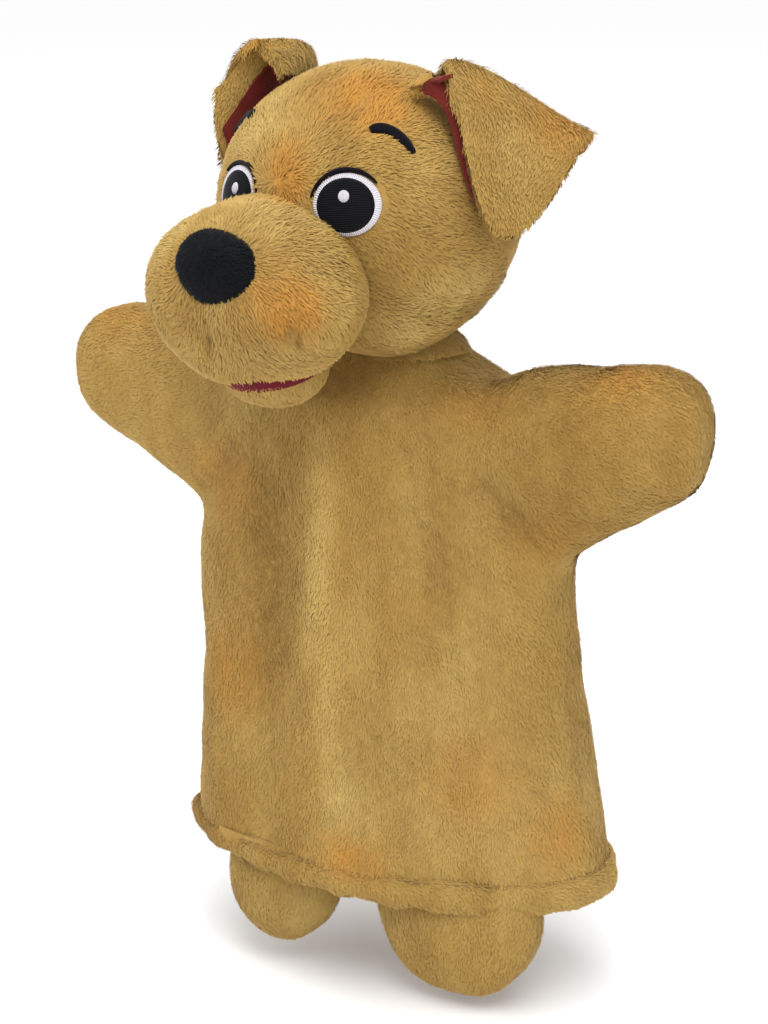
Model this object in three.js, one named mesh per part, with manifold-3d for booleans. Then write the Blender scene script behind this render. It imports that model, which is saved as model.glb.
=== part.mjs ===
// Plush dog glove puppet, in millimetres, +Z up.
// The dog faces -Y and its left is +X. The origin is the middle of the hand opening, level with the hem.
import * as THREE from 'three';
import Module from 'manifold-3d';
import { mergeVertices } from 'three/addons/utils/BufferGeometryUtils.js';

const wasm = await Module();
wasm.setup();

// Driving dimensions
const CLOTH = 2.0; // plush, backing and pile pressed together
const GAP = 0.3; // between neighbouring pieces
const BELLY_FULLNESS = 2.25; // exponent of the torso's outline: 2 is an ellipse, more is squarer

// Torso: height, half width, half depth
const TORSO = [
  [0, 75.5, 43], [9, 74.8, 42.6], [31, 70.5, 40.5], [60, 65.5, 37.5], [82, 63.5, 35], [94, 61.5, 33.8],
  [101, 57.5, 33], [106, 53, 32.4], [115, 51, 31.6], [140, 50.5, 29.5], [148, 50, 28.5],
  [154, 47.5, 27], [158.5, 41, 25.5], [160.3, 31, 24.3], [160.8, 24.5, 23.6],
];
const HEM_HEIGHT = 9;
const HEM_THICKNESS = 4;

// Arm, from the shoulder outwards: distance from the middle, bottom, top, half depth
const SLEEVE = [
  [54, 107, 156.5, 20.5], [60, 107.3, 160.5, 20.5], [68, 109.5, 165, 20.5], [79, 116.2, 168.6, 19.8],
];
const PAW = [
  [82, 127.4, 157.4, 11.4], [88.5, 123.8, 168.9, 17.6], [95.5, 128, 168.6, 15.8], [101.5, 132, 166, 12.8],
  [106, 137, 160.5, 8.6], [108.5, 142, 155.5, 4.4], [109.2, 146, 151.5, 1.4],
];
const SHOULDER_X = 52;
const SHOULDER_RADIUS = 22.6;
const SHOULDER_BOTTOM = 106;
const SHOULDER_TOP = 156.5;
const ELBOW = [80, 0, 142.4];
const ELBOW_RADIUS = 16.5;
const ELBOW_HALF_WIDTH = 12;

// Head, in its own frame, which is turned a little to the dog's right
const HEAD_TURN = THREE.MathUtils.degToRad(-12);
const SKULL = { centre: [0, -9, 209], half: [45, 43, 43] };
const MUZZLE = { centre: [0, -58.5, 189], half: [39.5, 26.5, 26.5] };
const CHIN = { centre: [0, -53, 167.5], half: [17, 15, 10] };
const NOSE = { centre: [1, -80, 200.5], half: [13, 8, 11.4] };
const FINGER_BORE = 8.5;
const FINGER_TUBE = 10;
const FINGER_TUBE_BOTTOM = 160;
const FINGER_TUBE_TOP = 196;
const NECK_HOLE = 15;
const NECK_RINGS = [
  { name: 'neck_cover_lower', inner: 16.2, outer: 18.6, bottom: 155.5, top: 161.5 },
  { name: 'neck_cover_upper', inner: 12.6, outer: 14.4, bottom: 158.5, top: 165.5 },
];

// Embroidery, measured on the face from the middle of each eye
const EYE_ON_SKULL = [21.7, -37, 7.3];
const EYE_WHITE = [10.1, 9.8];
const PUPIL = [8.5, 8.3];
const HIGHLIGHT = 1.9;
const LASH_OUTER = 11.7;
const BROW_ON_SKULL = [27.5, -23, 25.5];
const THREAD = 0.9;

// Ear flap, in its own plane: along the fold, then down from it
const EAR_FOLD_START = [31, -17, 251.5];
const EAR_FOLD_END = [60, 21, 235];
const EAR_TIP = [56, -25, 207.5];
const EAR_OUTLINE = [[0, 0], [20, -6], [38, -5], [50, 1], [45, 18], [37, 33], [28, 45], [20, 44], [10, 22]];
const EAR_CLOTH = 2.2;
const EAR_LINING_CLOTH = 1.3;
const EAR_ROOT_DEPTH = 15;
const EAR_ROOT_SLOPE = 38;

// Feet, hung from the inside of the front hem
const FEET = { left: 35.5, right: -28.5 };
const FOOT = { y: -22.5, z: -9, half: [24, 12.4, 24], top: -1 };
const FOOT_TAB = { halfWidth: 17, bottom: 0.6, top: 7.5, cloth: 1.6 };

// Solids and sections

/** The closed solid of a geometry, with its shared vertices merged. */
function solid(geometry) {
  const bare = geometry.clone();
  bare.deleteAttribute('normal');
  bare.deleteAttribute('uv');
  const merged = mergeVertices(bare, 1e-4);
  const vertProperties = new Float32Array(merged.attributes.position.array);
  const triVerts = new Uint32Array(merged.index.array);
  return new wasm.Manifold(new wasm.Mesh({ numProp: 3, vertProperties, triVerts }));
}

/** The geometry of a solid. */
function surface(shape) {
  const mesh = shape.getMesh();
  const geometry = new THREE.BufferGeometry();
  geometry.setAttribute('position', new THREE.BufferAttribute(new Float32Array(mesh.vertProperties), 3));
  geometry.setIndex(new THREE.BufferAttribute(new Uint32Array(mesh.triVerts), 1));
  geometry.computeVertexNormals();
  return geometry;
}

/** The same geometry on the other side of the dog. */
function mirrored(geometry) {
  const other = geometry.clone();
  other.scale(-1, 1, 1);
  const index = other.index.array;
  for (let i = 0; i < index.length; i += 3) {
    [index[i + 1], index[i + 2]] = [index[i + 2], index[i + 1]];
  }
  other.computeVertexNormals();
  return other;
}

function box(low, high) {
  const size = high.map((value, axis) => value - low[axis]);
  const geometry = new THREE.BoxGeometry(...size);
  geometry.translate(...high.map((value, axis) => (value + low[axis]) / 2));
  return solid(geometry);
}

function uprightCylinder(x, y, radius, bottom, top, sides = 28) {
  const geometry = new THREE.CylinderGeometry(radius, radius, top - bottom, sides);
  geometry.rotateX(Math.PI / 2);
  geometry.translate(x, y, (bottom + top) / 2);
  return solid(geometry);
}

function ellipsoid({ centre, half }, grow = 0, sides = 24, rings = 12) {
  const geometry = new THREE.SphereGeometry(1, sides, rings);
  geometry.rotateX(Math.PI / 2);
  geometry.scale(...half.map((value) => value + grow));
  geometry.translate(...centre);
  return solid(geometry);
}

/** Straight-line reading of a table whose first column is the station. */
function readTable(table, station) {
  const last = table.length - 1;
  const clamped = Math.min(Math.max(station, table[0][0]), table[last][0]);
  const row = Math.min(table.findLastIndex((entry) => entry[0] <= clamped), last - 1);
  const share = (clamped - table[row][0]) / (table[row + 1][0] - table[row][0]);
  return table[row].map((value, column) => value + share * (table[row + 1][column] - value));
}

/** A closed tube whose section at each station is place(station, cos, sin) for a unit outline. */
function loft(stations, sides, fullness, place) {
  const rows = stations.length - 1;
  const geometry = new THREE.CylinderGeometry(1, 1, rows, sides, rows);
  const position = geometry.attributes.position;
  const bend = (value) => Math.sign(value) * Math.abs(value) ** (2 / fullness);
  for (let i = 0; i < position.count; i++) {
    const station = stations[Math.round(position.getY(i) + rows / 2)];
    const point = place(station, bend(position.getX(i)), bend(-position.getZ(i)));
    position.setXYZ(i, ...point);
  }
  return solid(geometry);
}

/** The torso's outline between two heights, grown or shrunk all round. */
function torsoSolid(bottom, top, grow) {
  const inside = TORSO.map((row) => row[0]).filter((z) => z > bottom && z < top);
  return loft([bottom, ...inside, top], 32, BELLY_FULLNESS, (z, across, back) => {
    const [, halfWidth, halfDepth] = readTable(TORSO, z);
    return [(halfWidth + grow) * across, (halfDepth + grow) * back, z];
  });
}

/** An arm table's outline, grown or shrunk all round, with either end moved along the arm. */
function armSolid(table, grow, startMove, endMove) {
  const first = table[0][0];
  const last = table[table.length - 1][0];
  const stations = table.map((row) => row[0]);
  return loft(stations, 24, 2.15, (x, back, up) => {
    const [, bottom, top, halfDepth] = readTable(table, x);
    const halfHeight = Math.max((top - bottom) / 2 + grow, 0.4);
    const moved = x + (x === first ? startMove : 0) + (x === last ? endMove : 0);
    return [moved, Math.max(halfDepth + grow, 0.4) * back, (bottom + top) / 2 + halfHeight * up];
  });
}

// Torso

function torsoShell() {
  const bottom = HEM_HEIGHT + GAP;
  const top = TORSO[TORSO.length - 1][0];
  const armhole = (side) =>
    uprightCylinder(side * SHOULDER_X, 0, SHOULDER_RADIUS + 0.8, SHOULDER_BOTTOM - 1, SHOULDER_TOP + 0.8);
  return torsoSolid(bottom, top, 0)
    .subtract(torsoSolid(bottom - 1, top + 1, -CLOTH))
    .subtract(armhole(1))
    .subtract(armhole(-1));
}

function frontHalf(shape) {
  return shape.intersect(box([-150, -150, -100], [150, -GAP / 2, 300]));
}

function backHalf(shape) {
  return shape.intersect(box([-150, GAP / 2, -100], [150, 150, 300]));
}

function hemBand() {
  return torsoSolid(0, HEM_HEIGHT, 0.8).subtract(torsoSolid(-1, HEM_HEIGHT + 1, 0.8 - HEM_THICKNESS));
}

function hemThread() {
  const bottom = HEM_HEIGHT + 0.6;
  const top = bottom + 0.8;
  return torsoSolid(bottom, top, GAP + 0.5).subtract(torsoSolid(bottom - 1, top + 1, GAP));
}

// Arms, made for the dog's left

function sleeveShell() {
  const outer = uprightCylinder(SHOULDER_X, 0, SHOULDER_RADIUS, SHOULDER_BOTTOM, SHOULDER_TOP)
    .add(armSolid(SLEEVE, 0, 0, 0));
  const root = uprightCylinder(
    SHOULDER_X, 0, SHOULDER_RADIUS - CLOTH, SHOULDER_BOTTOM + CLOTH, SHOULDER_TOP - CLOTH);
  const openSide = box([0, -60, 90], [SHOULDER_X - 8, 60, 180]);
  return outer
    .subtract(root)
    .subtract(armSolid(SLEEVE, -CLOTH, -10, 5))
    .subtract(openSide);
}

function elbowCylinder(shrink) {
  const radius = ELBOW_RADIUS - shrink;
  const geometry = new THREE.CylinderGeometry(radius, radius, 2 * (ELBOW_HALF_WIDTH - shrink), 24);
  geometry.translate(...ELBOW);
  return solid(geometry);
}

/** The rounded end of the arm, with a knuckle that turns inside the sleeve. */
function pawShell() {
  const outer = elbowCylinder(0).add(armSolid(PAW, 0, 0, 0));
  const inner = elbowCylinder(CLOTH).add(armSolid(PAW.slice(0, -1), -CLOTH, -1, -CLOTH));
  return outer.subtract(inner).subtract(box([0, -60, 90], [ELBOW[0] - 5, 60, 190]));
}

// Neck and head

function neckRing({ inner, outer, bottom, top }) {
  return uprightCylinder(0, 0, outer, bottom, top).subtract(uprightCylinder(0, 0, inner, bottom - 1, top + 1));
}

function fingerTube() {
  return uprightCylinder(0, 0, FINGER_TUBE, FINGER_TUBE_BOTTOM, FINGER_TUBE_TOP, 28)
    .subtract(uprightCylinder(0, 0, FINGER_BORE, FINGER_TUBE_BOTTOM - 1, FINGER_TUBE_TOP + 1, 28));
}

function skullSide(side) {
  const edges = [side * GAP / 2, side * 100].sort((a, b) => a - b);
  const half = box([edges[0], -100, 100], [edges[1], 100, 300]);
  return ellipsoid(SKULL)
    .subtract(ellipsoid(SKULL, -CLOTH))
    .subtract(uprightCylinder(0, 0, NECK_HOLE, 100, 190))
    .intersect(half);
}

function skullFilling() {
  return ellipsoid(SKULL, -CLOTH - GAP)
    .subtract(uprightCylinder(0, 0, FINGER_TUBE + GAP, 100, FINGER_TUBE_TOP + GAP, 28))
    .subtract(uprightCylinder(0, 0, NECK_HOLE + GAP, 100, 171, 28));
}

function muzzleCover() {
  return ellipsoid(MUZZLE).subtract(ellipsoid(MUZZLE, -CLOTH)).subtract(ellipsoid(SKULL, GAP));
}

function muzzleFilling() {
  return ellipsoid(MUZZLE, -CLOTH - GAP).subtract(ellipsoid(SKULL, GAP));
}

function chinCover() {
  return ellipsoid(CHIN, 0, 20, 10).subtract(ellipsoid(MUZZLE, 2 * GAP + 1.5)).subtract(ellipsoid(SKULL, 2));
}

function mouthLining() {
  return ellipsoid(CHIN, -1.2, 20, 10)
    .intersect(ellipsoid(MUZZLE, GAP + 1.5))
    .subtract(ellipsoid(MUZZLE, GAP))
    .subtract(ellipsoid(SKULL, 2));
}

function noseCover() {
  return ellipsoid(NOSE, 0, 20, 10).subtract(ellipsoid(MUZZLE, GAP));
}

/** A flat outline laid on the skull at a point, as thread of a given height above its surface. */
function embroidered(outline, onSkull, low, high) {
  const [x, y, z] = onSkull;
  const normal = new THREE.Vector3(x / SKULL.half[0] ** 2, y / SKULL.half[1] ** 2, z / SKULL.half[2] ** 2);
  normal.normalize();
  const across = new THREE.Vector3(0, 0, 1).cross(normal).normalize();
  const up = normal.clone().cross(across);
  const length = 26;
  const geometry = new THREE.ExtrudeGeometry(outline, { depth: length, bevelEnabled: false, curveSegments: 9 });
  geometry.translate(0, 0, -length / 2);
  geometry.applyMatrix4(new THREE.Matrix4().makeBasis(across, up, normal));
  geometry.translate(...onSkull.map((value, axis) => value + SKULL.centre[axis]));
  return solid(geometry)
    .intersect(ellipsoid(SKULL, high))
    .subtract(ellipsoid(SKULL, low))
    .subtract(ellipsoid(MUZZLE, GAP));
}

function ellipseOutline(halfWidth, halfHeight, x = 0, y = 0) {
  const outline = new THREE.Shape();
  outline.absellipse(x, y, halfWidth, halfHeight, 0, 2 * Math.PI, false, 0);
  return outline;
}

function lashOutline() {
  const from = THREE.MathUtils.degToRad(28);
  const to = THREE.MathUtils.degToRad(172);
  const inner = EYE_WHITE[0] + 0.5;
  const outline = new THREE.Shape();
  outline.absarc(0, 0, LASH_OUTER, from, to, false);
  outline.absarc(0, 0, inner, to, from, true);
  return outline;
}

function browOutline() {
  const outline = new THREE.Shape();
  outline.moveTo(-7.5, 0.6);
  outline.quadraticCurveTo(0.5, 5.4, 8.2, -4.4);
  outline.quadraticCurveTo(-0.2, 1.6, -7.5, 0.6);
  return outline;
}

/** An ear flap's plane: its fold runs along the first axis and it hangs down along the second. */
function earPlane() {
  const start = new THREE.Vector3(...EAR_FOLD_START);
  const along = new THREE.Vector3(...EAR_FOLD_END).sub(start).normalize();
  const toTip = new THREE.Vector3(...EAR_TIP).sub(start);
  const down = toTip.clone().addScaledVector(along, -toTip.dot(along)).normalize();
  const inward = along.clone().cross(down);
  return { frame: new THREE.Matrix4().makeBasis(along, down, inward), start };
}

/** A layer of the folded-down flap. Depths are measured inwards from the flap's outer face. */
function earFlap(share, from, cloth) {
  const middle = [26, 16];
  const points = EAR_OUTLINE.map(([u, v]) =>
    new THREE.Vector2(middle[0] + (u - middle[0]) * share, middle[1] + (v - middle[1]) * share));
  const outline = new THREE.Shape(new THREE.SplineCurve([...points, points[0]]).getPoints(36).slice(0, -1));
  const geometry = new THREE.ExtrudeGeometry(outline, { depth: cloth, bevelEnabled: false });
  geometry.translate(0, 0, from);
  const { frame, start } = earPlane();
  geometry.applyMatrix4(frame);
  geometry.translate(...start);
  return solid(geometry).subtract(ellipsoid(SKULL, 1));
}

/** The short upright stretch of the ear between the head seam and the fold. */
function earRoot() {
  const outline = new THREE.Shape();
  outline.moveTo(6, 4);
  outline.quadraticCurveTo(20, -3, 36, 6);
  outline.lineTo(30, EAR_ROOT_DEPTH);
  outline.lineTo(4, EAR_ROOT_DEPTH);
  const geometry = new THREE.ExtrudeGeometry(outline, { depth: EAR_CLOTH, bevelEnabled: false });
  const { frame, start } = earPlane();
  geometry.rotateX(THREE.MathUtils.degToRad(EAR_ROOT_SLOPE));
  geometry.translate(0, 0, EAR_CLOTH + EAR_LINING_CLOTH + 2.6);
  geometry.applyMatrix4(frame);
  geometry.translate(...start);
  return solid(geometry).subtract(ellipsoid(SKULL, GAP));
}

// Feet

function footShape(x) {
  return { centre: [x, FOOT.y, FOOT.z], half: FOOT.half };
}

function belowHem(shape) {
  return shape.intersect(box([-150, -150, -100], [150, 150, FOOT.top]));
}

function footCover(x) {
  return belowHem(ellipsoid(footShape(x), 0, 20, 12).subtract(ellipsoid(footShape(x), -CLOTH, 20, 12)));
}

function footFilling(x) {
  return belowHem(ellipsoid(footShape(x), -CLOTH - GAP, 20, 12));
}

/** The strip of the foot's cloth that is caught in the hem. */
function footTab(x) {
  const { halfWidth, bottom, top, cloth } = FOOT_TAB;
  const outer = 0.8 - HEM_THICKNESS - GAP;
  const strip = torsoSolid(bottom, top, outer).subtract(torsoSolid(bottom - 1, top + 1, outer - cloth));
  return strip.intersect(box([x - halfWidth, -100, -10], [x + halfWidth, 0, 20]));
}

// Materials

function finish(color, roughness) {
  return new THREE.MeshStandardMaterial({ color, roughness, metalness: 0 });
}

const plush = () => finish(0xc09858, 0.95);
const hemPlush = () => finish(0xb88f4f, 0.95);
const lining = () => finish(0x7a261e, 0.9);
const blackPlush = () => finish(0x141416, 0.95);
const blackThread = () => finish(0x1a1a1c, 0.6);
const whiteThread = () => finish(0xe6e2e8, 0.55);
const goldThread = () => finish(0x9a7434, 0.7);
const fibre = () => finish(0xeeeae2, 1);
const card = () => finish(0xb9a27c, 0.85);

// Assembly

const puppet = new THREE.Group();
const head = new THREE.Group();
head.rotation.z = HEAD_TURN;
puppet.add(head);

function place(parent, name, geometry, material) {
  const mesh = new THREE.Mesh(geometry, material);
  mesh.name = name;
  parent.add(mesh);
}

function placePair(parent, name, shape, material) {
  const geometry = surface(shape);
  place(parent, `left_${name}`, geometry, material());
  place(parent, `right_${name}`, mirrored(geometry), material());
}

const torso = torsoShell();
const hem = hemBand();
place(puppet, 'body_front_panel', surface(frontHalf(torso)), plush());
place(puppet, 'body_back_panel', surface(backHalf(torso)), plush());
place(puppet, 'hem_front', surface(frontHalf(hem)), hemPlush());
place(puppet, 'hem_back', surface(backHalf(hem)), hemPlush());
place(puppet, 'hem_stitching', surface(hemThread()), goldThread());

placePair(puppet, 'sleeve', sleeveShell(), plush);
placePair(puppet, 'paw', pawShell(), plush);

for (const ring of NECK_RINGS) {
  place(puppet, ring.name, surface(neckRing(ring)), plush());
}

place(head, 'finger_tube', surface(fingerTube()), card());
place(head, 'head_left_side', surface(skullSide(1)), plush());
place(head, 'head_right_side', surface(skullSide(-1)), plush());
place(head, 'head_filling', surface(skullFilling()), fibre());
place(head, 'muzzle_cover', surface(muzzleCover()), plush());
place(head, 'muzzle_filling', surface(muzzleFilling()), fibre());
place(head, 'chin', surface(chinCover()), plush());
place(head, 'mouth_lining', surface(mouthLining()), lining());
place(head, 'nose', surface(noseCover()), blackPlush());

const white = ellipseOutline(...EYE_WHITE);
const pupil = ellipseOutline(...PUPIL, -0.4, -0.2);
const highlight = ellipseOutline(HIGHLIGHT, HIGHLIGHT, -0.6, 2.9);
const stitched = (outline, onSkull, layer) => {
  const low = GAP + layer * (THREAD + GAP);
  return embroidered(outline, onSkull, low, low + THREAD);
};
placePair(head, 'eye_white', stitched(white, EYE_ON_SKULL, 0), whiteThread);
placePair(head, 'pupil', stitched(pupil, EYE_ON_SKULL, 1), blackThread);
placePair(head, 'eye_highlight', stitched(highlight, EYE_ON_SKULL, 2), whiteThread);
placePair(head, 'lash_line', stitched(lashOutline(), EYE_ON_SKULL, 0), blackThread);
placePair(head, 'brow', stitched(browOutline(), BROW_ON_SKULL, 0), blackThread);

placePair(head, 'ear_root', earRoot(), plush);
placePair(head, 'ear_flap', earFlap(1, 0, EAR_CLOTH), plush);
placePair(head, 'ear_lining', earFlap(0.93, EAR_CLOTH + GAP, EAR_LINING_CLOTH), lining);

for (const [side, x] of Object.entries(FEET)) {
  place(puppet, `${side}_foot`, surface(footCover(x)), plush());
  place(puppet, `${side}_foot_filling`, surface(footFilling(x)), fibre());
  place(puppet, `${side}_foot_tab`, surface(footTab(x)), plush());
}

export default puppet;
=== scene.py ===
import math

import bmesh
import bpy
import numpy as np
from mathutils import Matrix, Vector


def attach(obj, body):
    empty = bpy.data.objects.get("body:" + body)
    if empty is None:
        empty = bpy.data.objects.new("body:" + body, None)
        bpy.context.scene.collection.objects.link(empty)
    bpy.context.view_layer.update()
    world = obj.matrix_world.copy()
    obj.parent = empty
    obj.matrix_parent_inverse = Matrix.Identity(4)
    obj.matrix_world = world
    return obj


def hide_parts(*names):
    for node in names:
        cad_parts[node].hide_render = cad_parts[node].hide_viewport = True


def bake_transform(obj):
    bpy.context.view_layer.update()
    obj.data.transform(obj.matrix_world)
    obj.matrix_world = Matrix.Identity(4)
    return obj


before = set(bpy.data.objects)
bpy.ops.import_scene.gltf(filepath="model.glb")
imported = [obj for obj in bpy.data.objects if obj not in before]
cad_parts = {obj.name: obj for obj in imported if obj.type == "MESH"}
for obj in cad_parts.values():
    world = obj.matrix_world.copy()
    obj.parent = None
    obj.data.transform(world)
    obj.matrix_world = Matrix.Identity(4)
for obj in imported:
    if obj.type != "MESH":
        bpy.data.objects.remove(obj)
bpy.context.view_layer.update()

MM = 0.001
SIDES = {"left": 1, "right": -1}

# ---- camera

VIEW_TURN = math.radians(28)
VIEW_RISE = math.radians(16)
VIEW_DISTANCE = 0.816
VIEW_TARGET = Vector((-0.0023, 0, 0.110))
LENS_MM = 91.4
SENSOR_MM = 36

def outward(turn, rise):
    """The direction from the puppet to something at that turn and rise."""
    return Vector((
        math.sin(turn) * math.cos(rise),
        -math.cos(turn) * math.cos(rise),
        math.sin(rise),
    ))

def add_object(name, data):
    thing = bpy.data.objects.new(name, data)
    bpy.context.scene.collection.objects.link(thing)
    return thing

def add_camera():
    data = bpy.data.cameras.new("camera")
    data.lens = LENS_MM
    data.sensor_width = SENSOR_MM
    camera = add_object("camera", data)
    away = outward(VIEW_TURN, VIEW_RISE)
    camera.location = VIEW_TARGET + away * VIEW_DISTANCE
    camera.rotation_euler = away.to_track_quat("Z", "Y").to_euler()
    bpy.context.scene.camera = camera

add_camera()

# ---- finishes

def srgb(red, green, blue):
    """A linear colour from red, green and blue as they look, 0 to 255."""
    def line(value):
        value /= 255
        return value / 12.92 if value <= 0.04045 else ((value + 0.055) / 1.055) ** 2.4
    return (line(red), line(green), line(blue), 1)

class Value:
    """A number socket that takes part in sums and products."""

    def __init__(self, finish, socket):
        self.finish = finish
        self.socket = socket

    def _math(self, operation, first, second=None, clamp=False):
        inputs = {0: first} if second is None else {0: first, 1: second}
        settings = {"operation": operation, "use_clamp": clamp}
        return self.finish.node("ShaderNodeMath", settings, inputs)

    def __add__(self, other):
        return self._math("ADD", self, other)

    __radd__ = __add__

    def __sub__(self, other):
        return self._math("SUBTRACT", self, other)

    def __rsub__(self, other):
        return self._math("SUBTRACT", other, self)

    def __mul__(self, other):
        return self._math("MULTIPLY", self, other)

    __rmul__ = __mul__

    def clamped(self):
        return self._math("ADD", self, 0.0, clamp=True)

    def sine(self):
        return self._math("SINE", self)

    def spread(self, low, high, to_low=0.0, to_high=1.0):
        """low to high becomes to_low to to_high, smoothly and no further."""
        return self.finish.node(
            "ShaderNodeMapRange",
            {"interpolation_type": "SMOOTHSTEP"},
            {"Value": self, "From Min": low, "From Max": high, "To Min": to_low, "To Max": to_high},
            "Result",
        )

class Finish:
    """A procedural material under construction."""

    def __init__(self, name):
        self.material = bpy.data.materials.new(name)
        self.material.use_nodes = True
        self.tree = self.material.node_tree
        self.tree.nodes.clear()
        self.place = self.node("ShaderNodeTexCoord", out="Object")

    def node(self, kind, settings=None, inputs=None, out=0):
        made = self.tree.nodes.new(kind)
        for key, value in (settings or {}).items():
            setattr(made, key, value)
        for key, value in (inputs or {}).items():
            self.put(made.inputs[key], value)
        return Value(self, made.outputs[out])

    def put(self, socket, value):
        if isinstance(value, Value):
            self.tree.links.new(value.socket, socket)
        else:
            socket.default_value = value

    def noise(self, scale, detail=2.0, stretch=(1, 1, 1), roughness=0.5):
        """Noise from 0 to 1 with so many waves a metre."""
        where = self.place
        if stretch != (1, 1, 1):
            where = self.node(
                "ShaderNodeVectorMath", {"operation": "MULTIPLY"}, {0: self.place, 1: stretch}
            )
        return self.node(
            "ShaderNodeTexNoise", None,
            {"Vector": where, "Scale": scale, "Detail": detail, "Roughness": roughness}, "Fac",
        )

    def near(self, middle, reach):
        """1 at a point in millimetres, fading to 0 at reach from it."""
        away = self.node(
            "ShaderNodeVectorMath", {"operation": "DISTANCE"},
            {0: self.place, 1: tuple(c * MM for c in middle)}, "Value",
        )
        return away.spread(0.0, reach * MM, 1.0, 0.0)

    def near_any(self, places):
        total = None
        for middle, reach in places:
            here = self.near(middle, reach)
            total = here if total is None else total + here
        return total

    def along(self, direction, middle=(0, 0, 0)):
        """Metres along a direction from a point in metres."""
        from_middle = self.node(
            "ShaderNodeVectorMath", {"operation": "SUBTRACT"}, {0: self.place, 1: tuple(middle)}
        )
        return self.node(
            "ShaderNodeVectorMath", {"operation": "DOT_PRODUCT"},
            {0: from_middle, 1: tuple(direction)}, "Value",
        )

    def mix(self, first, second, share, blend="MIX"):
        return self.node(
            "ShaderNodeMix", {"data_type": "RGBA", "blend_type": blend},
            {0: share, 6: first, 7: second}, 2,
        )

    def bump(self, height, strength, distance):
        return self.node(
            "ShaderNodeBump", None,
            {"Height": height, "Strength": strength, "Distance": distance * MM}, "Normal",
        )

    def close(self, colour, roughness=0.8, normal=None, **constants):
        """Ends the material in one cloth, thread or card surface."""
        inputs = {"Base Color": colour, "Roughness": roughness}
        if normal is not None:
            inputs["Normal"] = normal
        sockets = {"gloss": "Specular IOR Level"}
        for key, value in constants.items():
            inputs[sockets.get(key, key.replace("_", " ").title())] = value
        surface = self.node("ShaderNodeBsdfPrincipled", None, inputs)
        end = self.tree.nodes.new("ShaderNodeOutputMaterial")
        self.put(end.inputs["Surface"], surface)
        return self.material

STRAW = srgb(188, 162, 98)
GOLD = srgb(161, 129, 67)
OCHRE = srgb(135, 97, 43)
ORANGE = srgb(182, 121, 42)
WARM_PLACES = [
    ((3, -29, 246), 26), ((16, -30, 242), 22), ((-9, -48, 225), 15), ((-5, -51, 217), 12),
    ((6, -80, 194), 17), ((14, -78, 188), 15), ((60, -4, 242), 24), ((46, -22, 249), 14),
    ((-48, -12, 255), 18), ((80, -8, 172), 24), ((40, -24, 160), 20), ((-92, -8, 176), 24),
    ((-47, -26, 120), 20), ((-44, -34, 60), 24), ((66, -24, 108), 20), ((46, -36, 40), 22),
    ((74, -20, 22), 22), ((4, -46, 11), 13), ((14, -45, 10), 12),
]
# Painted highlight: paler spots along the body's fold ridge and on the lit parts of the head and muzzle.
PAINTED_HIGHLIGHT_PLACES = [
    ((-21, -36, 236), 20), ((-14, -57, 214), 15), ((2, -57, 212), 15), ((-38, -64, 203), 17),
    ((25, -29, 179), 19), ((37, -25, 188), 18), ((24, -68, 190), 12), ((-7, -40, 142), 14),
    ((-8, -40, 128), 14), ((-8, -40, 114), 14), ((-8, -40, 100), 14), ((-8, -41, 86), 14),
    ((-7, -42, 72), 14), ((-5, -43, 58), 14), ((-2, -44, 44), 14), ((1, -44, 30), 14),
    ((-56, -20, 90), 14),
]
# Painted shade: darker spots in the body's fold valleys, the armpit, under the neck, under the nose and
# on the head.
PAINTED_SHADE_PLACES = [
    ((-2, -83, 184), 12), ((9, -80, 182), 11), ((-22, -80, 184), 11), ((-27, -38, 136), 13),
    ((-28, -38, 122), 13), ((-29, -38, 108), 13), ((-30, -38, 94), 13), ((-32, -37, 80), 13),
    ((-34, -36, 66), 12), ((28, -36, 142), 14), ((33, -36, 116), 14),
    ((0, -28, 160), 18), ((52, -22, 116), 12), ((46, -30, 205), 10),
]

def plush(name, pile, shade=1.0):
    """Short gold plush. pile is True on its tufts, which carry their own tint and painted shade."""
    f = Finish(name)
    drift = f.noise(20.0, 3.0, (1, 1, 0.45)).spread(0.34, 0.68)
    brushed = f.noise(95.0, 3.0, (1, 1, 0.4)).spread(0.36, 0.66)
    grain = f.noise(900.0, 2.0, (1, 1, 0.35)).spread(0.3, 0.7)
    warm, pale, dark = (
        (f.near_any(places) * (0.4 + 0.6 * brushed)).clamped()
        for places in (WARM_PLACES, PAINTED_HIGHLIGHT_PLACES, PAINTED_SHADE_PLACES)
    )
    colour = f.mix(GOLD, STRAW, 0.42 * drift)
    colour = f.mix(colour, OCHRE, 0.28 * (1 - brushed))
    # Painted highlight: the pale spots lighten the plush where light falls on the fold ridge and the
    # head.
    colour = f.mix(colour, STRAW, 0.75 * pale)
    # Painted shade: the dark spots deepen the plush in the fold valleys and under the head and nose.
    colour = f.mix(colour, OCHRE, 0.55 * dark)
    colour = f.mix(colour, ORANGE, 0.62 * warm)
    if pile:
        along = f.node("ShaderNodeAttribute", {"attribute_name": "along"}, out="Fac")
        tint_and_shade = f.node("ShaderNodeAttribute", {"attribute_name": "tint_and_shade"}, out="Fac")
        # Painted shade: darker tufts also turn ochre, so the painted fold shade reads orange-brown.
        colour = f.mix(colour, OCHRE, ((0.42 - tint_and_shade) * 1.6).clamped())
        # Painted shade: each tuft is darker at its root, down among the others, and paler at its tip.
        level = (0.86 + 0.2 * along) * (0.74 + 0.52 * tint_and_shade) * shade
    else:
        level = (0.9 + 0.1 * grain) * shade
    tone = f.node(
        "ShaderNodeCombineColor", None, {"Red": level, "Green": level * 0.985, "Blue": level * 0.96}
    )
    colour = f.mix(colour, tone, 1.0, "MULTIPLY")
    normal = None if pile else f.bump(grain, 0.6, 0.6)
    return f.close(
        colour, 0.75, normal, sheen_weight=0.22, sheen_roughness=0.4,
        sheen_tint=srgb(255, 222, 150), gloss=0.16,
    )

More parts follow.
